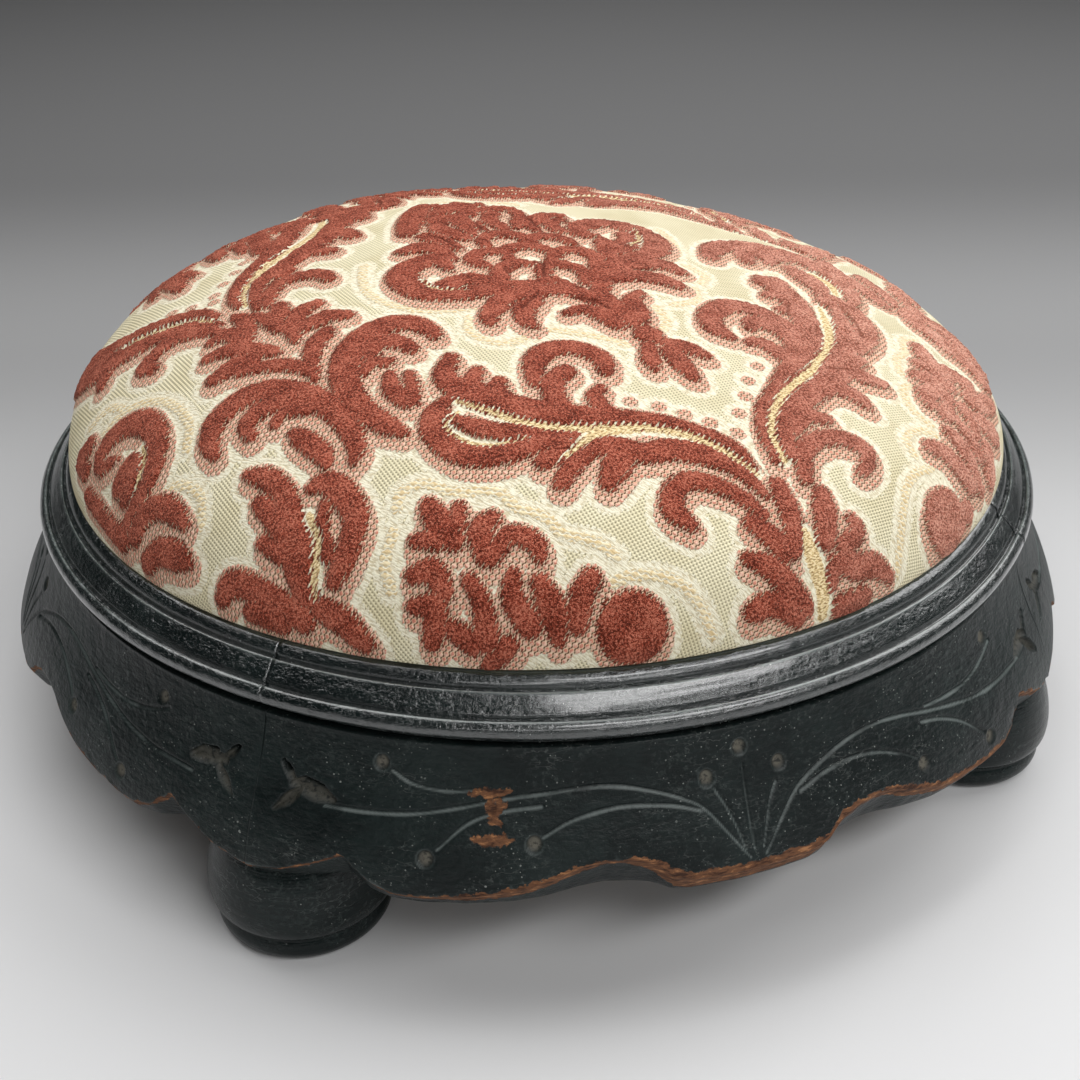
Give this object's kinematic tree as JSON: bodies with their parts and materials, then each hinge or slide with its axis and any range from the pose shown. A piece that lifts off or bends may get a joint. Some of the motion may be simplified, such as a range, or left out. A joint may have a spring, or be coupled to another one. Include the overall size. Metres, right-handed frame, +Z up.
{
  "type": "footstool",
  "caption": "Low round footstool with a tall domed velvet pad, a moulded rim, a flared scalloped frame and turned bun feet.",
  "frame": {"origin": "on the floor, on the stool's upright axis", "axes": "+Z up; -Y through the middle of the front frame quarter, +X through the middle of the right one, feet on the diagonals"},
  "size_m": [0.3462, 0.3462, 0.147],
  "materials": {
    "ebonised_wood": "satin black stain and polish, worn brown along the edges",
    "bare_pine": "unfinished, aged",
    "horsehair": "curled hair, matted",
    "calico": "plain unbleached weave",
    "cut_velvet": "cut pile scrolls on a cream woven ground",
    "blued_steel": "blued, dull"
  },
  "bodies": {
    "root": {"rim_right": "ebonised_wood", "rim_rear": "ebonised_wood", "rim_left": "ebonised_wood", "rim_front": "ebonised_wood", "frame_right": "ebonised_wood", "frame_rear": "ebonised_wood", "frame_left": "ebonised_wood", "frame_front": "ebonised_wood", "block_rear_right": "bare_pine", "block_rear_left": "bare_pine", "block_front_left": "bare_pine", "block_front_right": "bare_pine", "foot_rear_right": "ebonised_wood", "foot_rear_left": "ebonised_wood", "foot_front_left": "ebonised_wood", "foot_front_right": "ebonised_wood", "baseboard": "bare_pine", "horsehair_stuffing": "horsehair", "calico_lining": "calico", "velvet_cover": "cut_velvet", "cover_tacks": "blued_steel", "board_screws": "blued_steel"}
  },
  "joints": []
}
